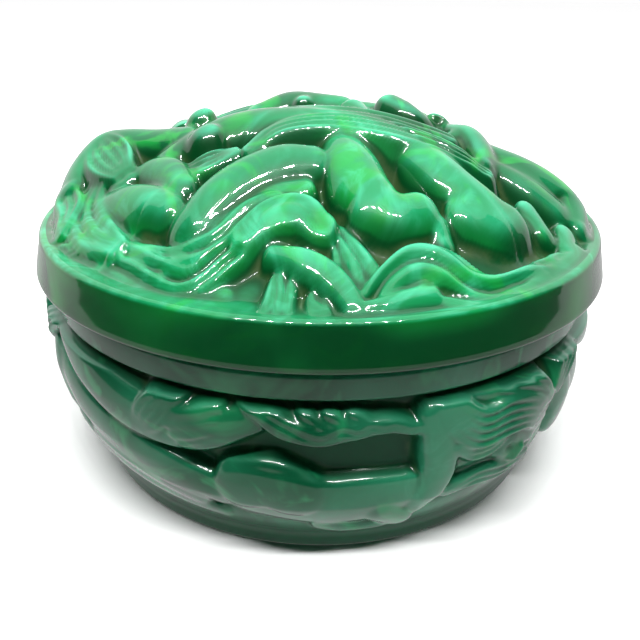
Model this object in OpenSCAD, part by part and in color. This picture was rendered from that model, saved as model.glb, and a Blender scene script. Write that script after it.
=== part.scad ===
// Covered powder jar of thick pressed glass: a round bowl on a plain foot and a domed lid that lifts off.
// Both are moulded in low relief with reclining figures, flowing hair and loose drapery.
// Origin: centre of the foot's underside. +Z up, the jar's front faces -Y. Millimetres.

/* [Lid] */
// Outside diameter of the lid's rim
lid_d = 120; // [116:1:124]
// Height of the lid's plain rim band
rim_h = 8.4; // [7:0.1:10]
// How much smaller the rim is at its top edge, on the radius
rim_draft = 1.4; // [0.8:0.1:2]
// Rise of the smooth dome under the figures, above the rim
dome_rise = 15; // [13:0.5:16]
// Height of the vault under the lid, above the rim's seat
vault_h = 13.5; // [10:0.5:14]
// Depth of the ring under the lid that centres it in the bowl
ring_h = 3.2; // [2:0.1:4]

/* [Bowl] */
// Height of the bowl's seat above the table
seat_z = 43; // [43:0.5:45]
// Diameter of the foot
foot_d = 100; // [98:1:102]
// Height of the foot's plain band
foot_h = 4.6; // [4:0.1:5]
// Diameter of the plain collar under the lid
collar_d = 114; // [113:0.5:115]
// Diameter of the bowl's mouth
mouth_d = 102; // [101:0.5:103]
// Thickness of the bowl's bottom
floor_t = 6.5; // [5:0.5:8]
// Depth of the hollow under the foot
kick_h = 1.4; // [1:0.1:2]

/* [Fit] */
// Free space between the lid's ring and the bowl's mouth, on the radius
ring_gap = 0.7; // [0.5:0.1:1]

/* [Hidden] */
$fn = 10;

lid_r = lid_d / 2;
foot_r = foot_d / 2;
collar_r = collar_d / 2;
mouth_r = mouth_d / 2;
rim_z = seat_z + rim_h;
ledge_r = lid_r - 3.8;            // where the rim's flat ledge meets the dome
ring_r = mouth_r - ring_gap;
ring_wall = 4;
glass_colour = [0.11, 0.50, 0.27];
panels = 3;                       // the bowl was pressed in a mould of three parts

// A tapered limb with round ends, between two points.
module limb(a, b, ra, rb) {
    hull() {
        translate(a) sphere(ra);
        translate(b) sphere(rb);
    }
}

// A chain of limbs through points that are each [x, y, z, radius].
module chain(points) {
    for (i = [0 : len(points) - 2])
        limb([for (k = [0:2]) points[i][k]], [for (k = [0:2]) points[i + 1][k]], points[i][3], points[i + 1][3]);
}

// The same, through points that are each [angle from the front, height, distance from the axis, radius].
function on_wall(p) = [p[2] * sin(p[0]), -p[2] * cos(p[0]), p[1], p[3]];
module wall_chain(points) chain([for (p = points) on_wall(p)]);

// Figures over one half of the lid: legs at the front, torso, arms and head above them, drapery below.
module lid_figures() {
    chain([[4, -23, 64, 6.4], [10.5, -37, 56.6, 6.2]]);                                  // left leg
    chain([[17, -22, 62.4, 6.6], [28, -34, 55.6, 6.4]]);                                 // right leg
    chain([[-1, -27, 62.4, 6], [-21, -33, 56.6, 5.8]]);                                  // crossed thigh
    chain([[-39, -19, 55.6, 5.4], [-28, -31, 55.2, 5.4]]);                               // forearm
    chain([[-4, -13, 66, 7], [-26, -16, 61.4, 6.4]]);                                    // torso
    chain([[-11, 1, 68, 6], [-3, -5, 68.7, 5.8]]);                                       // head
    chain([[-45, 3, 57.4, 6], [-28, -3, 62.4, 5.8]]);                                    // shoulder
    chain([[31, -10, 60.6, 6.2], [49, -17, 52.6, 5.8]]);                                 // arm
    chain([[-9, -18, 66, 4], [6, -15, 69, 4], [26, -15, 65, 4]]);                        // shawl
    chain([[-44, -16, 53, 4.6], [-36, -32, 52.4, 4.6], [-22, -41, 53, 5], [-6, -36, 57, 5]]); // left drapery
    chain([[8, -48, 52, 4], [18, -41, 54.4, 4.6], [30, -42, 51.6, 4.2], [42, -31, 51.6, 4.2]]); // right drapery
}

// Profile of the lid, as [distance from the axis, height] points.
module lid_profile() {
    dome = [for (r = [ledge_r - 2 : -6 : 6]) [r, rim_z + dome_rise * (1 - pow(r / ledge_r, 2)) + 0.6]];
    vault = [for (r = [2 : 6 : 44]) [r, seat_z + vault_h * (1 - pow(r / (ring_r - ring_wall), 4))]];
    polygon(concat(
        [[0, rim_z + dome_rise + 0.6]],
        [[0, seat_z + vault_h]], vault,
        [[ring_r - ring_wall, seat_z], [ring_r - ring_wall + 0.6, seat_z - ring_h]],
        [[ring_r - 0.8, seat_z - ring_h], [ring_r, seat_z - ring_h + 0.8], [ring_r, seat_z]],
        [[lid_r - 0.9, seat_z], [lid_r, seat_z + 0.9]],
        [[lid_r - rim_draft, rim_z - 1], [lid_r - rim_draft - 1, rim_z]],
        [[ledge_r + 0.4, rim_z - 0.2]],
        dome
    ));
}

module lid() {
    color(glass_colour) {
        rotate_extrude($fn = 72) lid_profile();
        lid_figures();
        rotate([0, 0, 180]) lid_figures();
    }
}

// One figure lying along the bowl's wall: torso and hips, legs, an arm reaching down, head, hair and scarf.
module wall_figure() {
    wall_chain([[22, 24, 54, 4.4], [8, 19, 53.8, 5], [-8, 14.5, 53.4, 5.2]]);                     // torso and hips
    wall_chain([[-8, 14.5, 53.4, 5.2], [-27, 12, 53.2, 4.6], [-47, 18, 54.4, 3.8]]);              // lower leg
    wall_chain([[-12, 23, 54.4, 4.2], [-30, 23, 54.6, 4], [-48, 31, 54.8, 3.4]]);                 // upper leg
    wall_chain([[23, 26, 54.6, 3.8], [25, 13, 53.4, 3.6], [10, 8, 52, 3.4]]);                     // arm
    translate([for (k = [0:2]) on_wall([38, 21, 54, 0])[k]]) sphere(4.8);                         // head
    wall_chain([[38, 25, 54.6, 4], [24, 31, 54.8, 3]]);                                           // hair
    wall_chain([[-20, 32, 54.6, 2.8], [-4, 28, 54.8, 2.8], [16, 30, 54.8, 2.8]]);                 // scarf
    wall_chain([[54, 30, 54.4, 4.4], [57, 17, 54, 4.2]]);                                         // knee
}

// Profile of the bowl, as [distance from the axis, height] points.
module bowl_profile() {
    belly = [[foot_r + 0.3, foot_h], [foot_r + 1.3, foot_h + 1.2], [52.8, 10], [54.2, 16], [55, 22], [55.4, 28]];
    inside = [[mouth_r, seat_z - 3], [50.2, 32], [49.2, 22], [47.4, 15], [44, 10], [38, floor_t + 0.6]];
    polygon(concat(
        [[0, kick_h], [foot_r - 7, kick_h], [foot_r - 5.6, 0], [foot_r - 0.8, 0], [foot_r, 0.8]],
        belly,
        [[55.2, 34.6], [collar_r - 0.3, 36.4], [collar_r, 37.4], [collar_r, 40.2]],
        [[collar_r - 0.8, 42], [collar_r - 2.6, seat_z]],
        [[mouth_r + 0.8, seat_z], [mouth_r, seat_z - 0.8]],
        inside,
        [[30, floor_t], [0, floor_t]]
    ));
}

module bowl() {
    color(glass_colour) {
        rotate_extrude($fn = 72) bowl_profile();
        for (i = [0 : panels - 1])
            rotate([0, 0, i * 360 / panels]) wall_figure();
    }
}

bowl();
lid();
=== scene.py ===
"""Covered powder jar of thick marbled pressed glass, modelled in low relief over its CAD frame.

The jar is two pressings, a bowl and a lid that lifts off. A pressing has no undercuts, so every figure,
fold and lock of hair is a stroke laid on a height field: over the lid it is a height above the table, and
round the bowl a distance from the axis. Lengths are millimetres until a mesh is made, which is in metres.
"""

import logging
import math
from dataclasses import dataclass, field
from enum import Enum
from typing import Optional, Union

import bpy
import numpy as np
from mathutils import Matrix, Vector


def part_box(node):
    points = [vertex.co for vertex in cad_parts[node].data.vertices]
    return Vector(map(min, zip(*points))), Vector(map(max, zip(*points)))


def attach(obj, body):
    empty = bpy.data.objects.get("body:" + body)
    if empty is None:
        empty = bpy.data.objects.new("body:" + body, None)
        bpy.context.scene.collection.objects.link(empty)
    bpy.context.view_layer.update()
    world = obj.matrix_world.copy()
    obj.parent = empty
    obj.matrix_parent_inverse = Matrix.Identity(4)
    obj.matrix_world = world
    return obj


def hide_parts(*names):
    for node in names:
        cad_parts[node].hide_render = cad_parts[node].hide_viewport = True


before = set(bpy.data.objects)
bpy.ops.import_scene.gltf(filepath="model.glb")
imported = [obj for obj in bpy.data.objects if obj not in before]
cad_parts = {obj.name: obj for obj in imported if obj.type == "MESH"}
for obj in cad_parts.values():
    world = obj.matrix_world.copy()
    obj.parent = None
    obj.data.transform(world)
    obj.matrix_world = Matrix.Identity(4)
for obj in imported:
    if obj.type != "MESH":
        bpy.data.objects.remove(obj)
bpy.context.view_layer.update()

LOG = logging.getLogger("powder_jar")
MM = 0.001
WELD_DISTANCE = 0.00002
GLASS_IOR = 1.52

Array = np.ndarray
Colour = tuple[float, float, float]
Point = tuple[float, float, float, float]
Profile = list[tuple[float, float]]
Socket = bpy.types.NodeSocket
Feed = Union[float, Socket]


# ---------------------------------------- relief strokes


class Form(Enum):
    """What a stroke is a picture of, which sets the shape of its section."""

    LIMB = "limb"
    CLOTH = "cloth"
    HAIR = "hair"
    CUT = "cut"


@dataclass(frozen=True)
class Stroke:
    """One form of the relief, drawn along a curve through a few points.

    Attributes:
        form: What it is a picture of.
        points: Each is (across, along, sink, radius): where it is, how far its crest lies below the outer
            skin of the relief, and half its width.
        folds: How many folds or locks run along it.
        depth: How deep the folds are, or the cut.
        sway: How far the folds wander from side to side, in folds.
    """

    form: Form
    points: tuple[Point, ...]
    folds: int = 0
    depth: float = 0.0
    sway: float = 0.35


@dataclass(frozen=True)
class Figure:
    """Strokes that melt into each other where they meet, and make a crease against everything else.

    Attributes:
        name: A plain word for what it shows; it is not used.
        strokes: Its forms. Cuts are made after the others are joined.
        soft: Radius of the joins between its forms.
    """

    name: str
    strokes: tuple[Stroke, ...]
    soft: float = 1.6


def limb(*points: Point) -> Stroke:
    """Returns a round limb through the points."""
    return Stroke(Form.LIMB, points)


def cloth(folds: int, depth: float, *points: Point, sway: float = 0.35) -> Stroke:
    """Returns a band of cloth with folds along it."""
    return Stroke(Form.CLOTH, points, folds, depth, sway)


def hair(locks: int, depth: float, *points: Point, sway: float = 0.5) -> Stroke:
    """Returns a tress of hair."""
    return Stroke(Form.HAIR, points, locks, depth, sway)


def cut(depth: float, *points: Point) -> Stroke:
    """Returns a groove pressed into its figure."""
    return Stroke(Form.CUT, points, 0, depth)


def strands(count: int, gap: float, *points: Point) -> tuple[Stroke, ...]:
    """Returns thin round strands, side by side along the points and drawn together at both ends.

    Args:
        count: How many strands there are.
        gap: Greatest distance from each strand to the next.
        points: The middle strand's points.

    Returns:
        One limb for each strand.
    """
    middle = np.array(points, dtype=float)
    run = np.gradient(middle[:, :2], axis=0)
    run /= np.linalg.norm(run, axis=1, keepdims=True)
    spread = 0.45 + 0.55 * np.sin(np.linspace(0, math.pi, len(middle)))
    beside = np.stack([-run[:, 1], run[:, 0]], axis=1) * spread[:, None]
    made = []
    for i in range(count):
        shifted = middle.copy()
        shifted[:, :2] += beside * gap * (i - (count - 1) / 2)
        made.append(limb(*(tuple(row) for row in shifted)))
    return tuple(made)


def smooth_path(points: tuple[Point, ...], spacing: float = 0.7) -> Array:
    """Runs a smooth curve through the points of a stroke.

    Args:
        points: The stroke's points.
        spacing: About how far apart the curve's samples are.

    Returns:
        Rows of (across, along, sink, radius).
    """
    p = np.array(points, dtype=float)
    if len(p) == 1:
        p = np.vstack([p, p + (0.3, 0.0, 0.0, 0.0)])
    ends = np.vstack([2 * p[0] - p[1], p, 2 * p[-1] - p[-2]])
    rows = []
    for a, b, c, d in zip(ends[:-3], ends[1:-2], ends[2:-1], ends[3:]):
        count = max(2, int(np.linalg.norm(c[:2] - b[:2]) / spacing))
        t = np.linspace(0, 1, count, endpoint=False)[:, None]
        rows.append(0.5 * (2 * b + (c - a) * t + (2 * a - 5 * b + 4 * c - d) * t**2
                           + (3 * b - a - 3 * c + d) * t**3))
    rows.append(p[-1:])
    return np.vstack(rows)


def smooth_max(a: Array, b: Array, k: float) -> Array:
    """Returns the greater of two fields, with a fillet of radius about k where they cross."""
    near = np.clip(k - np.abs(a - b), 0, None) / k
    return np.maximum(a, b) + near * near * k / 4


def ease(x: Array, low: float, high: float) -> Array:
    """Returns 0 below low, 1 above high and a smooth rise between them."""
    t = np.clip((x - low) / (high - low), 0, 1)
    return t * t * (3 - 2 * t)


def blur(grid: Array, passes: int) -> Array:
    """Softens a grid with a small binomial kernel, as fire-polishing softens pressed glass."""
    out = grid.copy()
    for _ in range(passes):
        wide = np.pad(out, 1, mode="edge")
        beside = wide[:-2, 1:-1] + wide[2:, 1:-1] + wide[1:-1, :-2] + wide[1:-1, 2:]
        out = (beside + 4 * wide[1:-1, 1:-1]) / 8
    return out


@dataclass
class ReliefSheet:
    """A height field that strokes are laid on.

    Attributes:
        across, along: Where each grid point is.
        skin: Height of the relief's outer skin at each grid point.
        ground: Height of the smooth ground at each grid point.
        crease: Radius of the join where one figure lies on another.
        roundness: How round its limbs are, from 0 for flat slabs to 1.
        far: A height so low that it never shows.
        height: Height of the surface at each grid point.
    """

    across: Array
    along: Array
    skin: Array
    ground: Array
    crease: float = 0.3
    roundness: float = 1.0
    far: float = -99.0
    height: Array = field(init=False)

    def __post_init__(self) -> None:
        """Starts from the bare ground."""
        self.height = self.ground.copy()

    def nearest(self, path: Array) -> tuple[Array, Array, Array, Array, Array, Array]:
        """Finds the nearest point of a path for each grid point close to it.

        Args:
            path: Rows of (across, along, sink, radius).

        Returns:
            Indices of the close grid points, then for each of them the distance, the signed side distance,
            the way along the path, the sink and the radius.
        """
        reach = path[:, 3].max() * 1.6 + 1
        u, v = self.across.ravel(), self.along.ravel()
        close = np.flatnonzero((u > path[:, 0].min() - reach) & (u < path[:, 0].max() + reach)
                               & (v > path[:, 1].min() - reach) & (v < path[:, 1].max() + reach))
        u, v = u[close], v[close]
        best = np.full(len(close), 1e9)
        side, way, sink, radius = (np.zeros(len(close)) for _ in range(4))
        travelled = 0.0
        for a, b in zip(path[:-1], path[1:]):
            run = b[:2] - a[:2]
            length2 = float(run @ run) + 1e-9
            length = math.sqrt(length2)
            raw = ((u - a[0]) * run[0] + (v - a[1]) * run[1]) / length2
            t = np.clip(raw, 0, 1)
            du, dv = u - a[0] - t * run[0], v - a[1] - t * run[1]
            d2 = du * du + dv * dv
            wins = d2 < best
            best[wins] = d2[wins]
            tw = t[wins]
            side[wins] = ((u[wins] - a[0]) * run[1] - (v[wins] - a[1]) * run[0]) / length
            way[wins] = travelled + tw * length
            sink[wins] = a[2] + tw * (b[2] - a[2])
            radius[wins] = a[3] + tw * (b[3] - a[3])
            travelled += length
        return close, np.sqrt(best), side, way, sink, radius

    def section(self, stroke: Stroke) -> tuple[Array, Array]:
        """Works out one stroke's height over the grid points that it reaches.

        Args:
            stroke: Any form but a cut.

        Returns:
            Indices of the grid points, and the height there.
        """
        close, d, side, way, sink, radius = self.nearest(smooth_path(stroke.points))
        crest = self.skin.ravel()[close] - sink
        q = d / radius
        if stroke.form is Form.LIMB:
            inner = np.minimum(q, 0.94)
            drop = self.roundness * radius * (1 - np.sqrt(1 - inner**2))
            drop += np.clip(q - 0.94, 0, None) * radius * 2.7
            return close, crest - drop
        edge = 0.22 * radius * np.minimum(q, 1) ** 4 + np.clip(q - 0.9, 0, None) * radius * 2.2
        turn = stroke.folds * (side / radius) / 2 + stroke.sway * np.sin(way / radius * 0.9)
        wave = 2 * math.pi * turn
        fade = 1 - np.clip(q, 0, 1) ** 3
        if stroke.form is Form.CLOTH:
            ripple = np.abs(np.sin(wave / 2)) ** 0.9
        else:
            ripple = np.abs(np.sin(wave / 2 + 0.4)) ** 0.7
        return close, crest - edge - stroke.depth * (1 - ripple) * fade

    def lay(self, figure: Figure) -> None:
        """Lays a figure on the sheet, over what is already there.

        Args:
            figure: The figure, whose cuts only go into its own forms.
        """
        own = np.full(self.height.size, self.far)
        for stroke in figure.strokes:
            if stroke.form is Form.CUT:
                close, d, _, _, _, radius = self.nearest(smooth_path(stroke.points, 0.4))
                own[close] -= stroke.depth * np.exp(-((d / radius) ** 2) * 1.5)
            else:
                close, height = self.section(stroke)
                own[close] = smooth_max(own[close], height, figure.soft)
        self.height = smooth_max(self.height, own.reshape(self.height.shape), self.crease)

    def cavity(self) -> Array:
        """Returns how deep each point lies in a crevice, up to 1, or how high on a crest, down to -1."""
        return np.clip((blur(self.height, 42) - self.height) / 1.1, -1, 1)

    def valley(self, low: float, high: float) -> Array:
        """Returns how far each grid point lies below the forms around it, from 0 to 1."""
        return ease(blur(self.height, 260) - self.height, low, high)


# ---------------------------------------- mesh building


@dataclass
class Shell:
    """Collects the vertices and faces of one glass body, and two marks that colour it: painted shade, a
    painted highlight and residue.

    Attributes:
        points: Blocks of vertices, in millimetres.
        faces: Blocks of triangles or quads.
        cavity: How deep each vertex lies in a crevice, from -1 to 1; it paints shade into the crevices and
            a highlight onto the crests, and places the residue.
        hollow: How much each vertex is darkened, from 0 to 1: painted shade where it lies behind the
            figures and between them, and on the bowl also darker towards the foot.
        count: How many vertices there are so far.
    """

    points: list[Array] = field(default_factory=list)
    faces: list[Array] = field(default_factory=list)
    cavity: list[Array] = field(default_factory=list)
    hollow: list[Array] = field(default_factory=list)
    count: int = 0

    def add(self, points: Array, cavity: Optional[Array] = None, hollow: Optional[Array] = None) -> int:
        """Adds points, in millimetres.

        Args:
            points: Rows of x, y and z.
            cavity: The first mark, or nothing for 0.
            hollow: The second mark, or nothing for 0.

        Returns:
            The index of the first of them.
        """
        start = self.count
        self.points.append(points)
        self.cavity.append(np.zeros(len(points)) if cavity is None else cavity)
        self.hollow.append(np.zeros(len(points)) if hollow is None else hollow)
        self.count += len(points)
        return start

    def strip(self, first: Array, second: Array, closed: bool) -> None:
        """Joins two rows of vertices with quads that face left of the way from first to second."""
        a, b = (np.append(r, r[0]) if closed else r for r in (first, second))
        self.faces.append(np.stack([a[:-1], b[:-1], b[1:], a[1:]], axis=1))

    def fan(self, row: Array, middle: int, closed: bool) -> None:
        """Closes a row of vertices onto one middle vertex."""
        a = np.append(row, row[0]) if closed else row
        self.faces.append(np.stack([a[:-1], np.full(len(a) - 1, middle), a[1:]], axis=1))

    def mesh(self, name: str) -> bpy.types.Mesh:
        """Makes the smooth shaded mesh, in metres.

        Args:
            name: The mesh's name.

        Returns:
            The mesh, with both marks and how far each vertex faces up as attributes.
        """
        mesh = bpy.data.meshes.new(name)
        faces = [tuple(int(i) for i in f) for block in self.faces for f in block]
        mesh.from_pydata((np.vstack(self.points) * MM).tolist(), [], faces)
        mesh.polygons.foreach_set("use_smooth", np.ones(len(mesh.polygons), dtype=bool))
        for title, values in (("cavity", self.cavity), ("hollow", self.hollow)):
            layer = mesh.attributes.new(title, "FLOAT", "POINT")
            layer.data.foreach_set("value", np.concatenate(values).astype(np.float32))
        mesh.update()
        normals = np.empty(len(mesh.vertices) * 3, dtype=np.float32)
        mesh.vertex_normals.foreach_get("vector", normals)
        layer = mesh.attributes.new("facing_up", "FLOAT", "POINT")
        layer.data.foreach_set("value", normals[2::3].copy())
        return mesh


def arc(centre: tuple[float, float], radius: float, start: float, end: float, steps: int) -> Profile:
    """Returns points on an arc of a profile, with its angles in degrees from the outward axis."""
    angles = [math.radians(start + (end - start) * i / steps) for i in range(steps + 1)]
    return [(centre[0] + radius * math.cos(a), centre[1] + radius * math.sin(a)) for a in angles]


# ---------------------------------------- figures

LID_FRONT: tuple[Figure, ...] = (
    Figure("margin", (
        limb((-51, -16, 1, 2.6), (-45, -30, 2.8, 3), (-36, -40, 3.8, 3), (-26, -46.5, 4, 2.6),
             (-15, -49.5, 4.4, 2)),
        limb((30, -49, 1.6, 2), (38, -42.5, 1.2, 3.2), (44, -36, 1, 3.6), (49, -28, 1, 3.4)),
    )),
    Figure("outer drapery", (
        cloth(3, 2, (-49, -12, 1.4, 2.6), (-45, -20, 2.4, 3.2), (-39, -31, 2.8, 3.6),
              (-32, -39.5, 3.2, 3.8),
              (-25, -44.5, 3, 3.8), (-19, -45.5, 3, 3.4), (-14.5, -43.5, 2.6, 3.2), (-11, -41, 2, 3)),
        cloth(2, 1.6, (-42, -24, 4.4, 1.6), (-37, -32, 4.4, 2), (-29, -39.5, 3.6, 2.6),
              (-23, -42.5, 3, 2.8), (-18, -41, 2.2, 2.8), (-13, -38, 1.6, 2.8), (-8, -36.5, 1.4, 2.8)),
        cloth(2, 0.6, (-12, -41.5, 1.8, 3), (-8, -39.2, 0.9, 3.4), (-3.5, -38.6, 1, 3.6),
              (-0.2, -40.4, 2.2, 3.2)),
    ), 0.6),
    Figure("sharp fold", (
        limb((-7.4, -44.8, 2.8, 2), (-3, -46.8, 1.8, 2.8), (1, -49.2, 1.5, 3), (4, -52.4, 1.2, 2.6),
             (6, -56.4, 0.6, 1.6)),
    ), 0.5),
    Figure("tassel", (
        hair(3, 1, (-5.6, -49.4, 3.4, 2.6), (-6.6, -54.6, 1.6, 2.8)),
        hair(2, 0.7, (-0.6, -52.6, 3, 1.6), (0.2, -55.4, 1.6, 1.8)),
    ), 0.4),
    Figure("cloth between the knees", (
        cloth(3, 1.2, (3.4, -40.4, 4, 1.8), (4.6, -43.4, 3.6, 3.2), (5.8, -46.6, 3.2, 4.2)),
    )),
    Figure("right drapery", (
        cloth(2, 1.6, (8, -52.5, 2.4, 2.4), (12, -49, 1.8, 3.2), (16, -46, 1.4, 3.6),
              (20.5, -45, 1.4, 3.6),
              (25, -46, 2, 3.4), (29.5, -46, 2.2, 3.2), (34.5, -43, 2, 3.2), (40, -38, 1.8, 3.2),
              (45, -32, 2.2, 2.6)),
        limb((5, -55.5, 1, 1.6), (10, -54, 1.2, 1.8), (14, -52.2, 1.4, 2), (18, -50.6, 1.8, 1.8)),
        limb((20, -51, 2, 1.3), (24, -51.4, 1.2, 1.7), (29, -50, 1.2, 1.3)),
    ), 0.6),
    Figure("left forearm", (
        limb((-41, -20.6, 1.2, 3.2), (-36.5, -24, 0.4, 4.2), (-31.4, -28.4, 0.2, 4.4),
             (-27, -32, 0.8, 3.6)),
    ), 0.8),
    Figure("left upper arm", (
        limb((-37, -17, 1.2, 3.6), (-33, -17, 0.4, 4), (-28.5, -21, 0.4, 4), (-25.5, -27, 0.9, 3.6)),
    ), 0.8),
    Figure("crossed legs", (
        limb((-2, -25.5, 0.6, 4.6), (-7, -26, 0, 5.4), (-13, -28.5, 0, 5.6), (-18, -32, 0.3, 5.4),
             (-21.5, -35.8, 1.2, 5)),
        limb((-3, -31.5, 2.6, 2.6), (-8, -33, 2.2, 2.8), (-14, -35.2, 2.8, 2.4)),
    ), 0.5),
    Figure("near leg", (
        limb((4, -19, 1, 5.4), (5.4, -25, 0, 6), (7.2, -31, 0, 6.2), (10, -35, 0.3, 5.2)),
        limb((8.4, -36.4, 0.8, 4), (13, -37, 0.5, 4.4), (17, -34.8, 0.8, 4)),
    ), 1.2),
    Figure("far leg", (
        limb((17, -17.5, 0.6, 5.4), (21, -22, -0.3, 5.8), (25.2, -26.4, -0.3, 5.8), (29.6, -29, 0, 5.6)),
        limb((25.6, -32.4, 1, 4.4), (30, -32, 0.5, 4.8), (34, -29.4, 0.6, 4.6)),
    ), 1),
    Figure("heel", (
        limb((19.6, -36, 2.4, 3), (20.6, -38.6, 3.6, 2.8)),
    ), 0.4),
    Figure("right foot", (
        limb((39, -23, 1.4, 2.8), (41, -27, 1.8, 3)),
        limb((47, -23, 1.4, 2.8), (46, -29, 1.6, 2.6)),
    ), 0.5),
    Figure("right arm", (
        limb((29, -5, 0, 4.6), (35, -7, -0.6, 5.2), (41, -8, -1.8, 5.8), (47, -9, -2.6, 5.8),
             (51, -12, -2.4, 5), (51.5, -18, 0, 4)),
        limb((35, -12, 0.8, 4.4), (41, -14, 0, 5.2), (46.4, -16.4, 0, 4.8)),
    ), 1.6),
    Figure("sleeve", (
        limb((27.6, 1, 0.2, 3.4), (30.4, -5, -1.8, 3.5), (31.6, -10, -1.3, 3.5), (31.6, -15, 0.2, 2.2)),
    ), 0.4),
    Figure("torso", (
        limb((6, -9, 0.4, 6.4), (-5, -10, -0.2, 6.8), (-15, -9, -0.4, 7), (-22, -10, -0.2, 6.4),
             (-28, -12.5, 0.6, 5.2), (-33, -15.5, 1.4, 3.8)),
        limb((-22.5, -13.8, -1.2, 3.8)),
        limb((-25, -3, -2, 3.2)),
    ), 1),
    Figure("sash", (
        cloth(3, 0.8, (-27, -24, 4, 2.4), (-21.5, -22.5, 3.2, 2.8), (-15, -20, 3.4, 2.4)),
    )),
    Figure("shawl", (
        cloth(4, 1.4, (-13, -20.5, 1.4, 1.8), (-8, -17, 0, 2.8), (0, -15.5, -0.5, 3.6),
              (9, -16, -0.7, 3.8),
              (18, -17, -0.5, 3.8), (25, -17.5, -0.2, 3.4), (31, -18, 1, 2.2), sway=0.15),
    )),
    Figure("scarf edge", (
        cloth(2, 0.9, (-14, -5, 1, 2), (-4, -8.5, 0, 2.6), (6, -10, -0.3, 2.8), (16, -10, 0, 2.8),
              (25, -10, 0.4, 2.4), sway=0.1),
    )),
)

LID_MIDDLE: tuple[Figure, ...] = (
    Figure("raised arm", (
        limb((-28, -8, -0.5, 4.8), (-34, -6, -2, 4.8), (-41, -4, -5, 5), (-46, -3, -6.8, 4.8),
             (-49, -7, -6, 4.2), (-50, -13, -3.4, 3.8)),
    )),
    Figure("left hair", (
        hair(4, 1.6, (-43, -8, -3, 3.2), (-46, -12, -1.6, 3.8), (-49, -18, 0.2, 3.8), (-47, -26, 1.4, 3),
             (-43, -31, 2.2, 2)),
        hair(3, 1.4, (-45, -6, -4, 2.8), (-42, -12, -1.4, 3.2), (-38, -18, 0.6, 2.8)),
    ), 0.5),
    Figure("left strands", (
        hair(3, 0.5, (-46, -4.5, -5.6, 2), (-43.6, -9, -3.8, 3.2), (-41, -13, -1.8, 4),
             (-38, -17.4, 0.4, 3.4)),
        *strands(5, 1.9, (-46, -4.5, -6.4, 0.6), (-43.6, -9, -4.5, 0.6), (-41, -13, -2.5, 0.6),
                 (-38, -17.6, -0.4, 0.5)),
        *strands(3, 2, (-49.4, -8, -4.8, 0.6), (-50.6, -14, -2.4, 0.7), (-48.2, -20, -0.8, 0.7),
                 (-49, -26, 0.6, 0.6)),
        *strands(3, 2.6, (-43, -15.4, -0.8, 0.8), (-44.4, -22, 0.9, 1.1), (-41, -29.6, 1.7, 1.2),
                 (-35, -36.4, 2.4, 1)),
        *strands(4, 1.7, (-26, -23, 2.6, 0.6), (-21, -21.6, 1.8, 0.6), (-15.5, -19.6, 2.2, 0.6)),
    ), 0.3),
    Figure("head", (
        limb((-13, 3, 0.6, 4.2), (-7, 4, -0.8, 5.2), (0, 2, -0.4, 4.6), (4, 1, -0.2, 4)),
        limb((-4, -0.5, -0.4, 2)),
    ), 1),
    Figure("hand on the crown", (
        limb((6.5, -4, -0.6, 3.4), (8, -8, 0.4, 3)),
    )),
    Figure("arm at the back", (
        limb((31, 10, 0.8, 4.2), (38, 8, 1.4, 4.8), (44, 7.5, 1.8, 4.8), (48.6, 12, 2, 4.2),
             (49, 18, 2.2, 3.4)),
    )),
    Figure("hair at the back", (
        hair(4, 1.4, (42, 12, 1.4, 2.8), (45, 17, 1.6, 3.4), (46, 23, 1.8, 3.4), (43, 31, 2.4, 2.4)),
    ), 0.5),
    Figure("bent knee", (
        limb((15, 3, -1.8, 4), (19, 0, -1, 3.8), (23, 2, 1.2, 3.4)),
    )),
)

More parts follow.
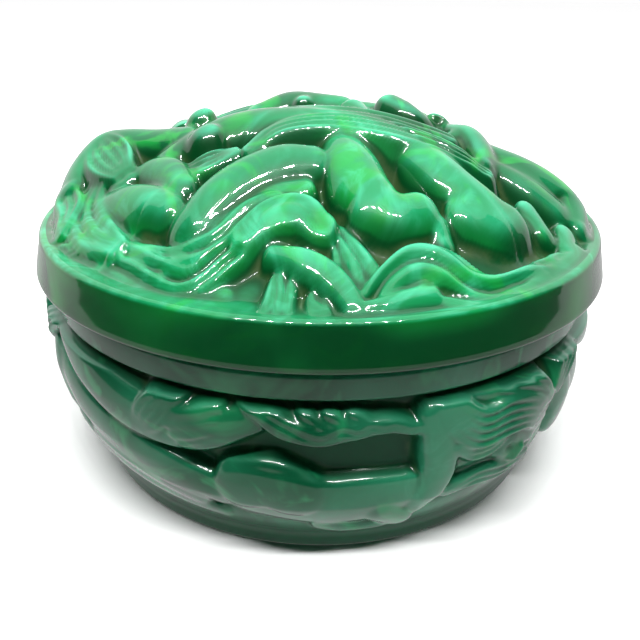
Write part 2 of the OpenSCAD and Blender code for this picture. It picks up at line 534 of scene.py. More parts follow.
BOWL_FIGURE: tuple[Figure, ...] = (
    Figure("far leg", (
        limb((-60, 14.6, 0.8, 3.4), (-48, 12.2, 0.8, 3.4), (-36, 9.8, 1, 3), (-20, 7.6, 1.3, 2.4)),
    )),
    Figure("near leg", (
        limb((-66, 26, 0.4, 4.6), (-57, 23, 0.4, 4.8), (-46, 21.4, 0.4, 4.6), (-36, 20, 0.3, 4.4),
             (-27, 18, 0.4, 4.4), (-18, 15, 0.8, 4.2)),
        limb((-50, 16.4, 1, 3.4), (-36, 14.6, 0.8, 3.6), (-24, 12, 0.9, 3.6)),
    ), 1),
    Figure("hand", (
        limb((-66, 35.5, 1.2, 3.4), (-56, 35, 0.2, 4.4), (-46, 32, -0.2, 5), (-37, 29.4, -0.2, 5),
             (-28, 28.4, 0, 4.8), (-20, 29, 0.4, 4.4), (-13, 31.4, 0.8, 3), (-8, 33, 1.6, 2)),
    ), 0.8),
    Figure("fingers", (
        limb((-24.5, 31.4, -0.3, 1), (-20, 33, -0.5, 1), (-16.5, 34.2, 0.4, 0.8)),
        limb((-24.5, 29.6, -0.4, 1), (-20.5, 30.8, -0.6, 1), (-17, 32, 0.2, 0.8)),
        limb((-24, 27.8, -0.4, 1), (-21, 28.8, -0.6, 1), (-17.6, 30, 0.2, 0.8)),
        limb((-23, 26.2, -0.1, 0.9), (-20, 27.6, 0.2, 0.8)),
    ), 0.3),
    Figure("cuff", strands(4, 1.7, (-31.6, 26.4, 0.2, 0.5), (-28.4, 31, -0.9, 0.5),
           (-23.4, 36.6, 0, 0.4)), 0.3),
    Figure("hips and chest", (
        limb((-12, 16, 0.4, 7.2), (-5, 15.2, 0.2, 7.2), (2, 14, 0.2, 7), (9, 14.2, 0.4, 7),
             (16, 15.2, 0.8, 5.6)),
        limb((-13, 19, 0.6, 5.4), (-8, 20, 0.4, 5), (-4, 18, 0.4, 5.2)),
    ), 3),
    Figure("hands below", (
        limb((1, 8, 0.8, 2.4), (6, 5.8, 0.2, 3), (12, 5.6, 0.4, 2.8)),
        limb((12, 11.6, 0, 3), (16.5, 8.2, 0.2, 3)),
    ), 0.4),
    Figure("arm and neck", (
        limb((19.4, 32.4, 0.4, 2.4), (21, 27, -0.2, 3.2), (21.5, 19, -0.2, 2.9), (19, 12, 0.4, 2.7)),
        limb((22, 22, 1.4, 3.4), (28, 21.4, 1.4, 3.4), (34, 21, 1.2, 3.4)),
    ), 0.8),
    Figure("head", (
        limb((37, 22, -0.2, 4.2), (41, 20.6, 0, 4.2)),
        limb((36, 18, 0.4, 2)),
        limb((39, 20.6, -0.9, 0.8), (37.6, 18.6, -1, 0.7)),
        cut(0.8, (36.2, 21.2, 0, 0.9)),
        cut(0.8, (41.4, 19.4, 0, 0.9)),
    ), 0.6),
    Figure("knee", (
        limb((49, 30, 0.6, 3.4), (54, 25, -0.2, 4.6), (56, 19, 0.2, 4.8)),
    )),
    Figure("scarf", (
        cloth(2, 0.5, (-22, 37.4, 1.4, 1), (-15, 37.6, 0.8, 1.3), (-10, 35, 0.2, 1.7), (-5.5, 32, 0, 2),
              (0, 30.8, 0, 2), (5, 31.4, 0.2, 1.7), (11, 32, 0.4, 1.3), (17, 30.4, 0.8, 1.1)),
        limb((-2.4, 34.6, 0.7, 0.8), (0.6, 32.6, 0.3, 0.8)),
        limb((1.6, 34.6, 0.8, 0.8), (4.4, 32.8, 0.4, 0.8)),
        limb((5.4, 34.4, 1, 0.7), (8, 33, 0.6, 0.7)),
    ), 0.4),
    Figure("hair", (
        hair(5, 0.5, (20, 36, 1.2, 2), (23, 32, 0.5, 2.8), (27, 28.6, 0.2, 3.4), (32, 28.4, -0.2, 3.8),
             (37, 29, -0.6, 3.6), (42, 26.6, -0.2, 3), (46, 21.6, 0.6, 2.2)),
        hair(5, 0.5, (27, 36.4, 1, 2), (32, 34.6, 0.2, 2.8), (37, 34.4, -0.4, 3), (42, 31.4, -0.6, 3),
             (46, 26, 0.2, 2.6)),
        hair(4, 0.6, (60, 37, 1, 2), (53, 35, 0.2, 2.8), (48, 30, 0.4, 2.6)),
        hair(4, 0.6, (23, 13.4, 1.2, 1.6), (29, 16.6, 0.8, 2.2), (36, 15.2, 0.7, 2.4),
             (43, 15.6, 0.7, 2.2),
             (47, 19, 0.8, 1.8)),
    ), 0.3),
    Figure("strands", (
        *strands(5, 1.7, (21.4, 36, 0.2, 0.4), (24, 31.6, -0.5, 0.5), (28.4, 28.6, -0.9, 0.5),
                 (34, 29.4, -1.3, 0.5), (40, 28, -1.3, 0.5), (45, 23, 0, 0.4)),
        *strands(3, 1.7, (30, 36.4, 0, 0.4), (35.4, 35.2, -0.8, 0.5), (41.4, 32.6, -1.4, 0.5),
                 (46, 28, -0.6, 0.4)),
        *strands(3, 1.5, (24, 26.4, -0.3, 0.4), (27.8, 23.6, -0.2, 0.5), (32, 24.2, -0.4, 0.5),
                 (35, 27, -0.2, 0.4)),
        *strands(3, 1.7, (24.4, 13.6, 0.8, 0.4), (30, 16.4, 0.1, 0.5), (37, 15.2, 0, 0.5),
                 (44, 16, 0.2, 0.4)),
        *strands(4, 1.8, (58.6, 37.4, 0.2, 0.4), (52, 35, -0.8, 0.5), (47.6, 29, -0.4, 0.4)),
    ), 0.2),
)


# ---------------------------------------- pieces


@dataclass
class Lid:
    """Domed lid: a relief top on a concentric grid, and a lathed rim, seat, ring and vault.

    Attributes:
        rim_radius: Outer radius of the rim, from the frame.
        rest: Height of the seat.
        rim_height: Height of the rim band.
        draft: How far the rim leans in from its foot to its top.
        rim_fillet, foot_fillet: Radii of the rim's upper and lower edges.
        dome_base, dome_rise, dome_radius: Where the skin of the relief starts, its rise and its radius.
        relief_radius: Radius of the relief, where the ledge starts.
        relief_depth: Depth of the relief at the middle.
        edge_loss: Share of that depth which is lost towards the edge.
        back_drop: How much lower the figures of the back half lie.
        vault_rise: Rise of the hollow under the lid.
        ring_outer, ring_wall, ring_drop: Radius, thickness and depth of the ring that centres the lid.
        cells: Grid cells across the relief.
    """

    rim_radius: float
    rest: float = 43.0
    rim_height: float = 8.4
    draft: float = 1.4
    rim_fillet: float = 1.2
    foot_fillet: float = 0.7
    dome_base: float = 8.5
    dome_rise: float = 23.0
    dome_radius: float = 58.0
    relief_radius: float = 57.0
    relief_depth: float = 8.5
    edge_loss: float = 0.4
    back_drop: float = 1.4
    vault_rise: float = 13.0
    ring_outer: float = 50.3
    ring_wall: float = 4.0
    ring_drop: float = 3.2
    cells: int = 256

    @property
    def ledge_z(self) -> float:
        """Height of the flat ledge between the rim and the relief."""
        return self.rest + self.rim_height - 0.1

    def grid(self) -> tuple[Array, Array]:
        """Lays a square grid over the round top, with its edge on the ledge's inner circle.

        Returns:
            Across and away from the front, at each grid point.
        """
        step = np.linspace(-1, 1, self.cells + 1)
        a, b = np.meshgrid(step, step, indexing="ij")
        wide = np.abs(a) > np.abs(b)
        with np.errstate(divide="ignore", invalid="ignore"):
            angle = np.where(wide, math.pi / 4 * b / a, math.pi / 2 - math.pi / 4 * a / b)
        radius = np.where(wide, a, b)
        angle = np.nan_to_num(angle)
        return radius * np.cos(angle) * self.relief_radius, radius * np.sin(angle) * self.relief_radius

    def relief(self, x: Array, y: Array) -> ReliefSheet:
        """Presses the figures into the top.

        Args:
            x: Across, at each grid point.
            y: Away from the front, at each grid point.

        Returns:
            The finished sheet, whose height is above the table.
        """
        r = np.hypot(x, y)
        skin = self.rest + self.dome_base + self.dome_rise * (1 - (r / self.dome_radius) ** 2)
        sunk = self.relief_depth * (1 - self.edge_loss * ease(r, 25, 55))
        ground = np.maximum(skin - sunk, self.ledge_z - 0.3)
        sheet = ReliefSheet(x, y, skin, ground)
        back = ReliefSheet(-x, -y, skin - self.back_drop, ground)
        for figure in LID_FRONT:
            back.lay(figure)
        sheet.height = np.where(y > 2, back.height, ground)
        for figure in LID_FRONT + LID_MIDDLE:
            sheet.lay(figure)
        edge = ease(r, 54.8, 57.2)
        sheet.height = blur(sheet.height, 2) * (1 - edge) + self.ledge_z * edge
        return sheet

    def profile(self) -> Profile:
        """Returns the lathed part, from the ledge over the rim, under the seat and up into the vault."""
        top, low, r = self.rest + self.rim_height, self.rest, self.rim_radius
        fillet, foot, ring = self.rim_fillet, self.foot_fillet, self.ring_outer
        inner = ring - self.ring_wall
        tip = low - self.ring_drop
        vault = [(q, low + self.vault_rise * (1 - (q / inner) ** 4)) for q in (44, 40, 34, 26, 16, 6)]
        band = [(r - self.draft * (1 - k), top - 1.3 - (self.rim_height - 2.2) * k)
                for k in (0.1, 0.5, 0.9, 1.0)]
        return (
            [(self.relief_radius + 0.2, self.ledge_z + 0.04)]
            + arc((r - self.draft - fillet, top - fillet), fillet, 90, 10, 7)
            + band
            + arc((r - foot, low + foot), foot, -5, -80, 3)
            + [(ring + 0.3, low), (ring, low - 0.4), (ring - 0.2, tip + 0.6), (ring - 0.9, tip),
               (inner + 0.8, tip), (inner, tip + 0.8)]
            + vault
        )

    def build(self) -> bpy.types.Object:
        """Builds the whole lid as one closed mesh.

        Returns:
            The lid's object.
        """
        x, y = self.grid()
        sheet = self.relief(x, y)
        shell = Shell()
        # Painted shade: the hollow mark darkens the sunk ground and the valleys between the forms, and
        # fades out towards the ledge.
        inner = 1 - ease(np.hypot(x, y), 48, 55)
        sunk = ease(sheet.skin - sheet.height, 3.0, 7.0)
        hollow = np.maximum(sunk, 0.95 * sheet.valley(0.0, 2.0)) * inner
        # The cavity mark paints shade into the crevices and a highlight onto the crests, and places the
        # residue.
        shell.add(np.stack([x.ravel(), y.ravel(), sheet.height.ravel()], axis=1), sheet.cavity().ravel(),
                  hollow.ravel())
        index = np.arange(x.size).reshape(x.shape)
        corners = [index[:-1, :-1], index[1:, :-1], index[1:, 1:], index[:-1, 1:]]
        shell.faces.append(np.stack(corners, axis=-1).reshape(-1, 4))
        rim = np.unique(np.concatenate([index[0], index[-1], index[:, 0], index[:, -1]]))
        angle = np.arctan2(y.ravel()[rim], x.ravel()[rim])
        order = np.argsort(angle)
        row, angle = rim[order], angle[order]
        for radius, z in self.profile():
            level = np.full(len(angle), z)
            ring = np.stack([radius * np.cos(angle), radius * np.sin(angle), level], axis=1)
            start = shell.add(ring)
            following = np.arange(start, start + len(ring))
            shell.strip(row, following, True)
            row = following
        middle = shell.add(np.array([[0.0, 0.0, self.rest + self.vault_rise]]))
        shell.fan(row, middle, True)
        piece = bpy.data.objects.new("lid_glass", shell.mesh("lid_glass"))
        bpy.context.scene.collection.objects.link(piece)
        return piece


@dataclass
class Bowl:
    """Bowl: one third of its wall with a figure on it, repeated round the axis as its mould is.

    Attributes:
        seat: Height of the mouth, on which the lid rests.
        foot_radius, collar_radius, mouth_radius: Radii of the foot, the collar and the mouth.
        relief_low, relief_high: Heights between which the relief lies.
        floor: Height of the inside's floor.
        kick: Height of the hollow under the foot.
        roundness: How round the figures are, from 0 for flat slabs to 1.
        foot_shade: How much darker the bowl is towards and through its foot, from 0 to 1.
        seam_turn: Where the mould's seam is, in degrees from the front.
        panels: How many times the figure repeats.
        columns: Grid columns round one third.
        rows: Grid rows up the relief.
        skin_profile, ground_profile: Height and radius of the relief's skin, and of the ground behind it.
    """

    seat: float
    foot_radius: float = 50.0
    collar_radius: float = 57.0
    mouth_radius: float = 51.0
    relief_low: float = 4.6
    relief_high: float = 36.2
    floor: float = 6.5
    kick: float = 1.4
    roundness: float = 0.35
    foot_shade: float = 0.9
    seam_turn: float = 19.0
    panels: int = 3
    columns: int = 256
    rows: int = 88
    skin_profile: tuple[tuple[float, float], ...] = (
        (0, 50), (3, 51), (5, 52.4), (10, 55), (15, 57.3), (20, 58.3), (25, 58.8), (30, 59),
        (35, 58.6), (38, 57.6))
    ground_profile: tuple[tuple[float, float], ...] = (
        (0, 50.2), (4.6, 50.7), (6, 51.2), (10, 52.4), (16, 53.6), (22, 54.3), (28, 54.6),
        (34, 54.6), (37, 54.9))

    @staticmethod
    def radius(z: Array, profile: tuple[tuple[float, float], ...]) -> Array:
        """Returns a profile's distance from the axis at each height."""
        heights, radii = zip(*profile)
        return np.interp(z, heights, radii)

    def relief(self, turn: Array, z: Array) -> ReliefSheet:
        """Presses one figure and its neighbours' overlaps into a third of the wall.

        Args:
            turn: Angle from the front at each grid point, in degrees.
            z: Height at each grid point.

        Returns:
            The finished sheet, whose height is a distance from the axis.
        """
        ground = blur(self.radius(z, self.ground_profile), 3)
        sheet = ReliefSheet(turn, z, self.radius(z, self.skin_profile), ground, 0.4)
        third = 360 / self.panels
        for figure in BOWL_FIGURE:
            own = ReliefSheet(turn, z, sheet.skin, np.full_like(z, sheet.far), 0.4, self.roundness)
            for shift in (-third, 0, third):
                own.across = turn - shift
                own.lay(figure)
            sheet.height = smooth_max(sheet.height, own.height, 0.4)
        edge = ease(z, 5.2, 6.6) * (1 - ease(z, 34.6, 36.0))
        seam = 0.1 * np.exp(-(((turn - self.seam_turn) / 0.25) ** 2))
        wide = np.hstack([sheet.height, sheet.height, sheet.height])
        soft = blur(wide, 2)[:, self.columns + 1:2 * self.columns + 2]
        sheet.height = soft * edge + ground * (1 - edge) + seam
        return sheet

    def profiles(self) -> tuple[Profile, Profile]:
        """Works out the plain profiles beside the relief.

        Returns:
            The profile above the relief, ending near the floor's middle, and the profile below it.
        """
        c, m, foot, top = self.collar_radius, self.mouth_radius, self.foot_radius, self.seat
        above = (
            [(c - 1.0, self.relief_high + 0.1)]
            + arc((c - 0.7, self.relief_high + 1.0), 0.7, -60, 0, 3)
            + [(c, 39.4)]
            + arc((c - 2.6, 40.2), 2.6, 10, 80, 5)
            + [(c - 2.6, top), (m + 0.8, top)]
            + arc((m + 0.8, top - 0.8), 0.8, 110, 180, 3)
            + [(m - 0.1, top - 3), (50.2, 32), (49.2, 22), (47.2, 14.6), (44, 10), (40, 7.6)]
            + [(34, self.floor), (16, self.floor)]
        )
        below = (
            [(foot + 0.55, self.relief_low - 0.1), (foot + 0.2, 2.4)]
            + arc((foot - 0.9, 0.9), 0.9, 0, -90, 4)
            + [(foot - 5.2, 0.0), (foot - 6.2, 0.5), (foot - 7.4, self.kick), (20, self.kick)]
        )
        return above, below

    def third(self) -> bpy.types.Object:
        """Builds one third of the bowl, from the inside's middle to the underside's middle.

        Returns:
            An object with an open mesh.
        """
        shell = Shell()
        turn = np.linspace(-60, 60, self.columns + 1)
        z = np.linspace(self.relief_high, self.relief_low, self.rows + 1)
        turns, heights = np.meshgrid(turn, z)
        sheet = self.relief(turns, heights)
        # The cavity mark paints shade into the crevices and a highlight onto the crests, and places the
        # residue.
        cavity = sheet.cavity()

        def row(radius: Array, height: Array, *marks: Array) -> Array:
            """Adds one row of vertices round the third, and returns their indices."""
            a = np.radians(turn)
            start = shell.add(np.stack([radius * np.sin(a), -radius * np.cos(a), height], axis=1), *marks)
            return np.arange(start, start + len(turn))

        level = np.ones(len(turn))
        above, below = self.profiles()
        rows = [row(r * level, h * level) for r, h in reversed(above)]
        # Painted shade: the hollow mark darkens the ground behind the figures and the valleys between
        # them.
        hollow = np.maximum(ease(sheet.skin - sheet.height, 1.6, 3.4), 0.7 * sheet.valley(0.1, 1.6))
        # The bowl is made darker towards its foot.
        hollow = np.maximum(hollow, self.foot_shade * (1 - ease(heights, 4.6, 8.5)))
        rows += [row(sheet.height[i], heights[i], cavity[i], hollow[i]) for i in range(self.rows + 1)]
        # The foot below the relief is darkened evenly.
        foot_darkening = self.foot_shade * level
        rows += [row(r * level, h * level, 0 * level, foot_darkening) for r, h in below]
        for upper, lower in zip(rows[:-1], rows[1:]):
            shell.strip(upper, lower, False)
        inside = shell.add(np.array([[0.0, 0.0, self.floor]]))
        under = shell.add(np.array([[0.0, 0.0, self.kick]]))
        shell.faces.append(np.stack([rows[0][:-1], rows[0][1:], np.full(len(turn) - 1, inside)], axis=1))
        shell.fan(rows[-1], under, False)
        piece = bpy.data.objects.new("bowl_third", shell.mesh("bowl_third"))
        bpy.context.scene.collection.objects.link(piece)
        return piece

    def build(self, material: bpy.types.Material) -> bpy.types.Object:
        """Repeats the third round the axis with Geometry Nodes, and bakes the closed bowl.

        Args:
            material: The bowl's glass.

        Returns:
            The bowl's object.
        """
        third = self.third()
        modifier = third.modifiers.new("repeat", "NODES")
        modifier.node_group = repeat_round_axis()
        settings = {"Count": self.panels, "Material": material}
        for item in modifier.node_group.interface.items_tree:
            if item.item_type == "SOCKET" and item.in_out == "INPUT" and item.name in settings:
                modifier[item.identifier] = settings[item.name]
        graph = bpy.context.evaluated_depsgraph_get()
        baked = bpy.data.meshes.new_from_object(third.evaluated_get(graph), depsgraph=graph)
        third.modifiers.clear()
        bpy.data.objects.remove(third)
        piece = bpy.data.objects.new("bowl_glass", baked)
        bpy.context.scene.collection.objects.link(piece)
        return piece


def repeat_round_axis() -> bpy.types.NodeTree:
    """Makes the tree that repeats a piece round the upright axis and joins its seams.

    Returns:
        A tree with the inputs Geometry, Count and Material.
    """
    tree = bpy.data.node_groups.new("repeat_round_axis", "GeometryNodeTree")
    for name, kind in (("Geometry", "Geometry"), ("Count", "Int"), ("Material", "Material")):
        tree.interface.new_socket(name, in_out="INPUT", socket_type="NodeSocket" + kind)
    tree.interface.new_socket("Geometry", in_out="OUTPUT", socket_type="NodeSocketGeometry")
    wiring = Wiring(tree)
    add, link = wiring.add, wiring.link
    source, result = add("NodeGroupInput"), add("NodeGroupOutput")
    line = add("GeometryNodeMeshLine")
    line.inputs["Offset"].default_value = (0, 0, 0)
    link(source.outputs["Count"], line.inputs["Count"])
    share = wiring.calculate("DIVIDE", 2 * math.pi, source.outputs["Count"])
    turn = wiring.calculate("MULTIPLY", add("GeometryNodeInputIndex").outputs[0], share)
    spin = add("ShaderNodeCombineXYZ")
    link(turn, spin.inputs["Z"])
    copies = add("GeometryNodeInstanceOnPoints")
    link(line.outputs["Mesh"], copies.inputs["Points"])
    link(source.outputs["Geometry"], copies.inputs["Instance"])
    link(spin.outputs[0], copies.inputs["Rotation"])
    real = add("GeometryNodeRealizeInstances")
    link(copies.outputs["Instances"], real.inputs["Geometry"])
    weld = add("GeometryNodeMergeByDistance")
    weld.inputs["Distance"].default_value = WELD_DISTANCE
    link(real.outputs["Geometry"], weld.inputs["Geometry"])
    dress = add("GeometryNodeSetMaterial")
    link(weld.outputs["Geometry"], dress.inputs["Geometry"])
    link(source.outputs["Material"], dress.inputs["Material"])
    link(dress.outputs["Geometry"], result.inputs["Geometry"])
    return tree


# ---------------------------------------- finishes


@dataclass(frozen=True)
class Wiring:
    """Adds nodes to a tree and joins them.

    Attributes:
        tree: The tree that is being built.
    """

    tree: bpy.types.NodeTree

    def add(self, kind: str) -> bpy.types.Node:
        """Adds a node."""
        return self.tree.nodes.new(kind)

    def link(self, source: Socket, target: Socket) -> None:
        """Joins an output to an input."""
        self.tree.links.new(source, target)

    def calculate(self, operation: str, *feeds: Feed) -> Socket:
        """Adds a calculation.

        Args:
            operation: The maths node's operation.
            feeds: What goes into it, each a number or a node's output.

        Returns:
            The output that holds the result.
        """
        node = self.add("ShaderNodeMath")
        node.operation = operation
        for socket, feed in zip(node.inputs, feeds):
            if isinstance(feed, Socket):
                self.link(feed, socket)
            else:
                socket.default_value = feed
        return node.outputs[0]

    def noise(self, place: Socket, scale: float, detail: float, distortion: float = 0.0) -> Socket:
        """Adds a noise texture, and returns its grey output."""
        node = self.add("ShaderNodeTexNoise")
        node.inputs["Scale"].default_value = scale
        node.inputs["Detail"].default_value = detail
        node.inputs["Distortion"].default_value = distortion
        self.link(place, node.inputs["Vector"])
        return node.outputs["Fac"]

    def blend(self, factor: Socket, first: Socket, second: Socket) -> Socket:
        """Mixes two colours, and returns the mixed one."""
        node = self.add("ShaderNodeMix")
        node.data_type = "RGBA"
        self.link(factor, node.inputs[0])
        self.link(first, node.inputs[6])
        self.link(second, node.inputs[7])
        return node.outputs[2]

    def reach(self, source: Socket, low: float, high: float, top: float = 1.0) -> Socket:
        """Turns a range of a value into 0 to top, smoothly, and returns the result."""
        node = self.add("ShaderNodeMapRange")
        node.interpolation_type = "SMOOTHSTEP"
        node.inputs["From Min"].default_value = low
        node.inputs["From Max"].default_value = high
        node.inputs["To Max"].default_value = top
        self.link(source, node.inputs["Value"])
        return node.outputs["Result"]

    def mark(self, name: str) -> Socket:
        """Reads one of the marks that the meshes carry at their vertices."""
        node = self.add("ShaderNodeAttribute")
        node.attribute_name = name
        return node.outputs["Fac"]


@dataclass(frozen=True)
class GlassFinish:
    """One marbled glass finish.

    Attributes:
        name: The material's name.
        deep, body, bright, pale: Colours of the marbling, from the darkest streak to the palest. Deep is
            also the painted shade, and pale the painted highlight on crests.
        residue: Colour of the old polish left in the crevices.
        residue_amount: How much of it there is.
        balance: Leaning of the marbling, from deep to pale.
        seed: Where the pattern is taken from.
        side_shade: How strongly painted shade darkens the steep sides.
        coat_roughness: Roughness of the outer gloss.
    """

    name: str
    deep: Colour
    body: Colour
    bright: Colour
    pale: Colour
    residue: Colour = (0.12, 0.14, 0.055)
    residue_amount: float = 0.28
    balance: float = 0.5
    seed: float = 0.0
    side_shade: float = 0.6
    coat_roughness: float = 0.05


def marbled_glass_group() -> bpy.types.NodeTree:
    """Makes the shader group for marbled glass: swirled colour with painted shade and a painted highlight,
    crevice residue, roughness, coat and height.

    Returns:
        A group with the outputs Color, Roughness, Coat and Height.
    """
    tree = bpy.data.node_groups.new("marbled_glass", "ShaderNodeTree")
    face = tree.interface
    for name in ("Deep", "Body", "Bright", "Pale", "Residue"):
        face.new_socket(name, in_out="INPUT", socket_type="NodeSocketColor")
    for name in ("Residue Amount", "Balance", "Seed", "Side Shade"):
        face.new_socket(name, in_out="INPUT", socket_type="NodeSocketFloat")
    face.new_socket("Color", in_out="OUTPUT", socket_type="NodeSocketColor")
    for name in ("Roughness", "Coat", "Height"):
        face.new_socket(name, in_out="OUTPUT", socket_type="NodeSocketFloat")
    wiring = Wiring(tree)
    add, link, blend = wiring.add, wiring.link, wiring.blend
    noise, reach, calculate = wiring.noise, wiring.reach, wiring.calculate
    given, result = add("NodeGroupInput").outputs, add("NodeGroupOutput").inputs
    up, hollow, cavity = wiring.mark("facing_up"), wiring.mark("hollow"), wiring.mark("cavity")

    # The pattern's place, bent by a broad noise so that the streaks swirl.
    place, shift = add("ShaderNodeTexCoord"), add("ShaderNodeVectorMath")
    link(place.outputs["Object"], shift.inputs[0])
    link(given["Seed"], shift.inputs[1])
    bend = noise(shift.outputs[0], scale=16, detail=2).node
    stretch, swirl = add("ShaderNodeVectorMath"), add("ShaderNodeVectorMath")
    stretch.operation = "SCALE"
    stretch.inputs["Scale"].default_value = 0.05
    link(bend.outputs["Color"], stretch.inputs[0])
    link(shift.outputs[0], swirl.inputs[0])
    link(stretch.outputs[0], swirl.inputs[1])

    # Marbling: deep and plain glass, bright streaks and a pale veil.
    broad = noise(swirl.outputs[0], scale=26, detail=2, distortion=0.6)
    streak = noise(swirl.outputs[0], scale=58, detail=3, distortion=1.6)
    fine = noise(swirl.outputs[0], scale=110, detail=3, distortion=2.2)
    lean = calculate("ADD", broad, given["Balance"])
    colour = blend(reach(lean, 0.72, 1.12), given["Deep"], given["Body"])
    colour = blend(reach(streak, 0.52, 0.66, top=0.75), colour, given["Bright"])
    veil = calculate("MULTIPLY", reach(lean, 0.9, 1.2), reach(fine, 0.4, 0.75, top=0.6))
    colour = blend(veil, colour, given["Pale"])

    # Painted shade: steep sides are darkened towards a marbled deep colour.
    shade = calculate("MULTIPLY", reach(up, 0.88, 0.3), given["Side Shade"])
    shaded_side_colour = blend(reach(broad, 0.46, 0.66, top=0.42), given["Deep"], given["Bright"])
    colour = blend(shade, colour, shaded_side_colour)
    # Painted shade: the hollows are darkened towards the deep colour, and dulled by a thinner coat, which
    # darkens them further.
    colour = blend(reach(hollow, 0.0, 1.0, top=0.9), colour, given["Deep"])
    link(calculate("SUBTRACT", 1.0, reach(hollow, 0.1, 0.9, top=0.8)), result["Coat"])

    # Painted shade darkens the crevices and a painted highlight pales the upward-facing crests, and old
    # polish lies in the deepest crevices.
    colour = blend(reach(cavity, 0.04, 0.5, top=0.75), colour, given["Deep"])
    crest_highlight = calculate("MULTIPLY", reach(cavity, -0.1, -0.9, top=0.6), reach(up, 0.5, 0.98))
    colour = blend(crest_highlight, colour, given["Pale"])
    grime = noise(shift.outputs[0], scale=240, detail=4)
    film = calculate("MULTIPLY", reach(cavity, 0.3, 1.0), reach(grime, 0.3, 0.7))
    amount = calculate("MULTIPLY", film, given["Residue Amount"])
    link(blend(amount, colour, given["Residue"]), result["Color"])
    link(calculate("ADD", calculate("MULTIPLY", amount, 0.3), 0.4), result["Roughness"])
    link(noise(shift.outputs[0], scale=90, detail=2), result["Height"])
    return tree


def glass(finish: GlassFinish, group: bpy.types.NodeTree) -> bpy.types.Material:
    """Makes a material from a finish.

    Args:
        finish: Its colours and amounts.
        group: The shared marbled glass group.

    Returns:
        The material.
    """
    material = bpy.data.materials.new(finish.name)
    material.use_nodes = True
    nodes, link = material.node_tree.nodes, material.node_tree.links.new
    shader = nodes["Principled BSDF"]
    marble = nodes.new("ShaderNodeGroup")
    marble.node_tree = group
    for name, colour in (("Deep", finish.deep), ("Body", finish.body), ("Bright", finish.bright),
                         ("Pale", finish.pale), ("Residue", finish.residue)):
        marble.inputs[name].default_value = (*colour, 1)
    for name, amount in (("Residue Amount", finish.residue_amount), ("Balance", finish.balance),
                         ("Seed", finish.seed), ("Side Shade", finish.side_shade)):
        marble.inputs[name].default_value = amount
    link(marble.outputs["Color"], shader.inputs["Base Color"])
    link(marble.outputs["Roughness"], shader.inputs["Roughness"])
    bump = nodes.new("ShaderNodeBump")
    bump.inputs["Strength"].default_value = 0.35
    bump.inputs["Distance"].default_value = 0.0004
    link(marble.outputs["Height"], bump.inputs["Height"])
    link(bump.outputs["Normal"], shader.inputs["Normal"])
    link(marble.outputs["Coat"], shader.inputs["Coat Weight"])
    shader.inputs["Coat Roughness"].default_value = finish.coat_roughness
    shader.inputs["Coat IOR"].default_value = GLASS_IOR
    shader.inputs["Specular IOR Level"].default_value = 0.1
    shader.inputs["IOR"].default_value = GLASS_IOR
    return material


LID_GLASS = GlassFinish("lid_glass", (0.0, 0.04, 0.008), (0.004, 0.26, 0.09), (0.006, 0.34, 0.045),
                        (0.07, 0.62, 0.36), balance=0.5, side_shade=0.95)
BOWL_GLASS = GlassFinish("bowl_glass", (0.0, 0.055, 0.02), (0.018, 0.19, 0.095), (0.012, 0.22, 0.08),
                         (0.05, 0.3, 0.175), residue_amount=0.25, balance=0.46, seed=0.31, side_shade=0.1,
                         coat_roughness=0.12)


# ---------------------------------------- camera, stage


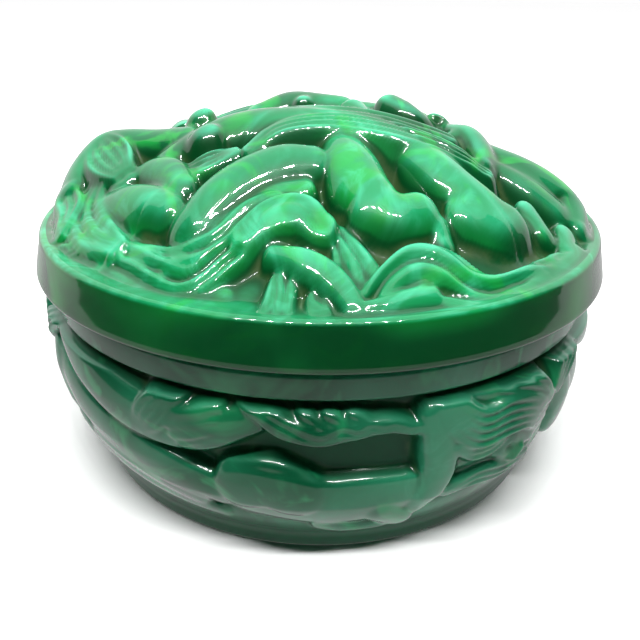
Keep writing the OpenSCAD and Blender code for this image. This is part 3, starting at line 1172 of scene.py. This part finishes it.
@dataclass(frozen=True)
class Studio:
    """Camera, pale floor and soft lights.

    Attributes:
        distance, height: How far in front of the jar's axis the camera is, and how high, in metres.
        pitch, roll: How far it looks down and how far it leans, in degrees.
        lens, shift: Its focal length in millimetres, and its sideways shift.
        sky_strength, low_sky: Strength of the white sky, and how bright it is below the horizon.
        floor_white, card_black: Brightness of the floor and of the card.
        softbox_power, soft_power, strip_power: Power of the big lamp, and of each soft and strip lamp.
        card_distance, card_turn: Where the card stands, and how far round it reaches to each side.
        card_low, card_height, card_lean: The card's lower and upper edge, and how far it leans in.
        strip_lamps, strip_pitch: How many strip lamps there are, and how far apart.
    """

    distance: float = 0.1529
    height: float = 0.0976
    pitch: float = 25.9
    roll: float = 0.77
    lens: float = 40.3
    shift: float = 0.0016
    sky_strength: float = 1.0
    low_sky: float = 0.65
    floor_white: float = 0.97
    card_black: float = 0.004
    softbox_power: float = 3.9
    card_distance: float = 0.27
    card_turn: float = 91.0
    card_low: float = 0.004
    card_height: float = 0.36
    card_lean: float = 0.03
    soft_power: float = 0.15
    strip_lamps: int = 24
    strip_pitch: float = 0.063
    strip_power: float = 0.65

    def camera(self) -> None:
        """Sets the camera at the height of someone looking down at the jar."""
        data = bpy.data.cameras.new("camera")
        data.lens, data.sensor_width, data.shift_x = self.lens, 36, self.shift
        data.clip_start = 0.01
        camera = bpy.data.objects.new("camera", data)
        place = Matrix.Translation((0, -self.distance, self.height))
        tilt = Matrix.Rotation(math.radians(90 - self.pitch), 4, "X")
        camera.matrix_world = place @ tilt @ Matrix.Rotation(math.radians(self.roll), 4, "Z")
        bpy.context.scene.collection.objects.link(camera)
        bpy.context.scene.camera = camera

    @staticmethod
    def matt(name: str, grey: float, roughness: float = 0.9, gloss: float = 0.5) -> bpy.types.Material:
        """Makes a plain grey material."""
        material = bpy.data.materials.new(name)
        material.use_nodes = True
        shader = material.node_tree.nodes["Principled BSDF"]
        shader.inputs["Base Color"].default_value = (grey, grey, grey, 1)
        shader.inputs["Roughness"].default_value = roughness
        shader.inputs["Specular IOR Level"].default_value = gloss
        return material

    def floor(self) -> None:
        """Adds a plain pale floor."""
        mesh = bpy.data.meshes.new("floor")
        half = 3
        mesh.from_pydata([(-half, -half, 0), (half, -half, 0), (half, half, 0), (-half, half, 0)], [],
                         [(0, 1, 2, 3)])
        floor = bpy.data.objects.new("floor", mesh)
        floor.location.z = -0.0001
        mesh.materials.append(self.matt("floor", self.floor_white))
        floor.visible_glossy = False
        bpy.context.scene.collection.objects.link(floor)

    def sky(self) -> None:
        """Surrounds the jar with white, and with grey below, which the glass mirrors and not the floor."""
        world = bpy.data.worlds.new("studio")
        world.use_nodes = True
        bpy.context.scene.world = world
        nodes, link = world.node_tree.nodes, world.node_tree.links.new
        direction, parts = nodes.new("ShaderNodeTexCoord"), nodes.new("ShaderNodeSeparateXYZ")
        link(direction.outputs["Generated"], parts.inputs[0])
        fade = nodes.new("ShaderNodeMapRange")
        fade.inputs["From Min"].default_value, fade.inputs["From Max"].default_value = -0.15, -0.03
        fade.inputs["To Min"].default_value, fade.inputs["To Max"].default_value = self.low_sky, 1.0
        link(parts.outputs["Z"], fade.inputs["Value"])
        link(fade.outputs["Result"], nodes["Background"].inputs["Color"])
        nodes["Background"].inputs["Strength"].default_value = self.sky_strength

    def card(self) -> None:
        """Stands a curved black card in front, out of sight, which keeps the reflections there dark."""
        mesh = bpy.data.meshes.new("card")
        steps = 24
        points = []
        for i in range(steps + 1):
            turn = math.radians(self.card_turn * (2 * i / steps - 1))
            for lean, z in ((0, self.card_low), (self.card_lean, self.card_height)):
                radius = self.card_distance - lean
                points.append((radius * math.sin(turn), -radius * math.cos(turn), z))
        mesh.from_pydata(points, [], [(2 * i, 2 * i + 2, 2 * i + 3, 2 * i + 1) for i in range(steps)])
        card = bpy.data.objects.new("card", mesh)
        mesh.materials.append(self.matt("card", self.card_black, roughness=1.0, gloss=0.0))
        card.visible_camera = False
        bpy.context.scene.collection.objects.link(card)

    def lamp(self, name: str, place: tuple[float, float, float], size: tuple[float, float],
             power: float) -> bpy.types.Object:
        """Adds a soft rectangular lamp that faces the jar.

        Args:
            name: The lamp's name.
            place: Where it is, in metres.
            size: Its width and height.
            power: Its power, in watts.

        Returns:
            The lamp's object.
        """
        data = bpy.data.lights.new(name, "AREA")
        data.shape = "RECTANGLE"
        data.size, data.size_y, data.energy = size[0], size[1], power
        lamp = bpy.data.objects.new(name, data)
        lamp.location = place
        lamp.rotation_euler = (Vector((0, 0, 0.05)) - Vector(place)).to_track_quat("-Z", "Y").to_euler()
        bpy.context.scene.collection.objects.link(lamp)
        return lamp

    def lights(self) -> None:
        """Adds the overhead softbox and a row of small lamps in front of it."""
        softbox = self.lamp("overhead", (0, 0.25, 0.9), (0.8, 0.5), self.softbox_power)
        softbox.visible_glossy = False
        for side in (-1, 1):
            self.lamp(f"soft_{side}", (0.36 * side, -0.3, 0.5), (0.14, 0.1), self.soft_power)
        for i in range(self.strip_lamps):
            across = (i - (self.strip_lamps - 1) / 2) * self.strip_pitch
            self.lamp(f"strip_{i}", (across, -0.3, 0.66), (0.01, 0.04), self.strip_power)

    def build(self) -> None:
        """Builds the whole studio."""
        self.camera()
        self.floor()
        self.sky()
        self.card()
        self.lights()
        bpy.context.scene.view_settings.view_transform = "Standard"


# ---------------------------------------- main


def finish_piece(piece: bpy.types.Object, node: str, material: bpy.types.Material) -> None:
    """Dresses a piece and puts it in place of its CAD node.

    Args:
        piece: The finished object.
        node: The CAD node that it stands for and rides on.
        material: Its glass.
    """
    piece.data.materials.clear()
    piece.data.materials.append(material)
    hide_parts(node)
    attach(piece, node)
    LOG.info("%s: %d vertices, stands for %s", piece.name, len(piece.data.vertices), node)


def main() -> None:
    """Builds the jar and its studio."""
    logging.basicConfig(level=logging.INFO, format="%(message)s")
    Studio().build()
    group = marbled_glass_group()
    lid_glass, bowl_glass = glass(LID_GLASS, group), glass(BOWL_GLASS, group)
    low, high = (Vector(corner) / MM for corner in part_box("lid"))
    lid = Lid(rim_radius=(high.x - low.x) / 2)
    finish_piece(lid.build(), "lid", lid_glass)
    bowl = Bowl(seat=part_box("bowl")[1][2] / MM)
    finish_piece(bowl.build(bowl_glass), "bowl", bowl_glass)


if __name__ == "__main__":
    main()
